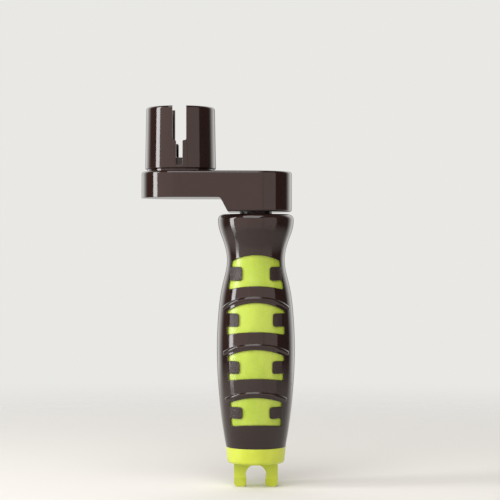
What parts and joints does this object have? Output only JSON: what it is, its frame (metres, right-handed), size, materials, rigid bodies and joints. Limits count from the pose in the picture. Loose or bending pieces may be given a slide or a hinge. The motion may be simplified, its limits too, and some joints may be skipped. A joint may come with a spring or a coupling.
{
  "type": "string winder",
  "caption": "Hand crank for turning guitar tuning pegs: slotted socket head on an offset arm, over a free-spinning two-colour handle with a notched pin-lifting tongue.",
  "frame": {"origin": "middle of the socket's mouth, on the socket's axis at the rim", "axes": "+Z out of the socket's mouth, parallel to the handle's axis; +X from the socket towards the handle's axis; the notch in the tongue runs through along Y"},
  "size_m": [0.055, 0.0286, 0.1357],
  "materials": {
    "black_gloss_plastic": "moulded, glossy",
    "black_rubber": "soft-touch, satin gloss",
    "lime_plastic": "moulded, satin",
    "lime_tip_plastic": "moulded, satin",
    "acetal": "turned, smooth",
    "cage_nylon": "moulded",
    "spindle_steel": "ground",
    "bearing_steel": "ground and polished",
    "ball_steel": "lapped",
    "shield_steel": "pressed sheet",
    "spring_steel": "phosphated spring steel",
    "zinc_screw": "zinc plated"
  },
  "bodies": {
    "crank": {"socket_head": "black_gloss_plastic", "head_screw": "zinc_screw", "crank_arm": "black_gloss_plastic", "spindle": "spindle_steel", "dust_washer": "acetal", "bearing_inner_ring": "bearing_steel", "journal_sleeve": "spindle_steel", "end_washer": "zinc_screw", "end_screw": "zinc_screw"},
    "handle": {"bearing_outer_ring": "bearing_steel", "bearing_shield_upper": "shield_steel", "bearing_shield_lower": "shield_steel", "snap_ring": "spring_steel", "lower_bush": "acetal", "handle_core": "lime_plastic", "grip_sleeve": "black_rubber", "pin_puller": "lime_tip_plastic"},
    "cage": {"bearing_cage": "cage_nylon"},
    "rolling_ball_1": {"bearing_ball_1": "ball_steel"},
    "rolling_ball_2": {"bearing_ball_2": "ball_steel"},
    "rolling_ball_3": {"bearing_ball_3": "ball_steel"},
    "rolling_ball_4": {"bearing_ball_4": "ball_steel"},
    "rolling_ball_5": {"bearing_ball_5": "ball_steel"},
    "rolling_ball_6": {"bearing_ball_6": "ball_steel"},
    "rolling_ball_7": {"bearing_ball_7": "ball_steel"}
  },
  "joints": [
    {"name": "handle_spin", "type": "hinge", "parent": "crank", "child": "handle", "pos_m": [0.027, 0, -0.044], "axis": [0, 0, 1], "continuous": true},
    {"name": "cage_spin", "type": "hinge", "parent": "crank", "child": "cage", "pos_m": [0.027, 0, -0.0445], "axis": [0, 0, 1], "continuous": true},
    {"name": "ball_1_roll", "type": "hinge", "parent": "cage", "child": "rolling_ball_1", "pos_m": [0.03175, 0, -0.0445], "axis": [0, 0, 1], "continuous": true},
    {"name": "ball_2_roll", "type": "hinge", "parent": "cage", "child": "rolling_ball_2", "pos_m": [0.02996, 0.00371, -0.0445], "axis": [0, 0, 1], "continuous": true},
    {"name": "ball_3_roll", "type": "hinge", "parent": "cage", "child": "rolling_ball_3", "pos_m": [0.02594, 0.00463, -0.0445], "axis": [0, 0, 1], "continuous": true},
    {"name": "ball_4_roll", "type": "hinge", "parent": "cage", "child": "rolling_ball_4", "pos_m": [0.02272, 0.00206, -0.0445], "axis": [0, 0, 1], "continuous": true},
    {"name": "ball_5_roll", "type": "hinge", "parent": "cage", "child": "rolling_ball_5", "pos_m": [0.02272, -0.00206, -0.0445], "axis": [0, 0, 1], "continuous": true},
    {"name": "ball_6_roll", "type": "hinge", "parent": "cage", "child": "rolling_ball_6", "pos_m": [0.02594, -0.00463, -0.0445], "axis": [0, 0, 1], "continuous": true},
    {"name": "ball_7_roll", "type": "hinge", "parent": "cage", "child": "rolling_ball_7", "pos_m": [0.02996, -0.00371, -0.0445], "axis": [0, 0, 1], "continuous": true}
  ],
  "couplings": [
    {"joint": "cage_spin", "follows": "handle_spin", "ratio": 0.6316},
    {"joint": "ball_1_roll", "follows": "handle_spin", "ratio": 1.7684},
    {"joint": "ball_2_roll", "follows": "handle_spin", "ratio": 1.7684},
    {"joint": "ball_3_roll", "follows": "handle_spin", "ratio": 1.7684},
    {"joint": "ball_4_roll", "follows": "handle_spin", "ratio": 1.7684},
    {"joint": "ball_5_roll", "follows": "handle_spin", "ratio": 1.7684},
    {"joint": "ball_6_roll", "follows": "handle_spin", "ratio": 1.7684},
    {"joint": "ball_7_roll", "follows": "handle_spin", "ratio": 1.7684}
  ]
}
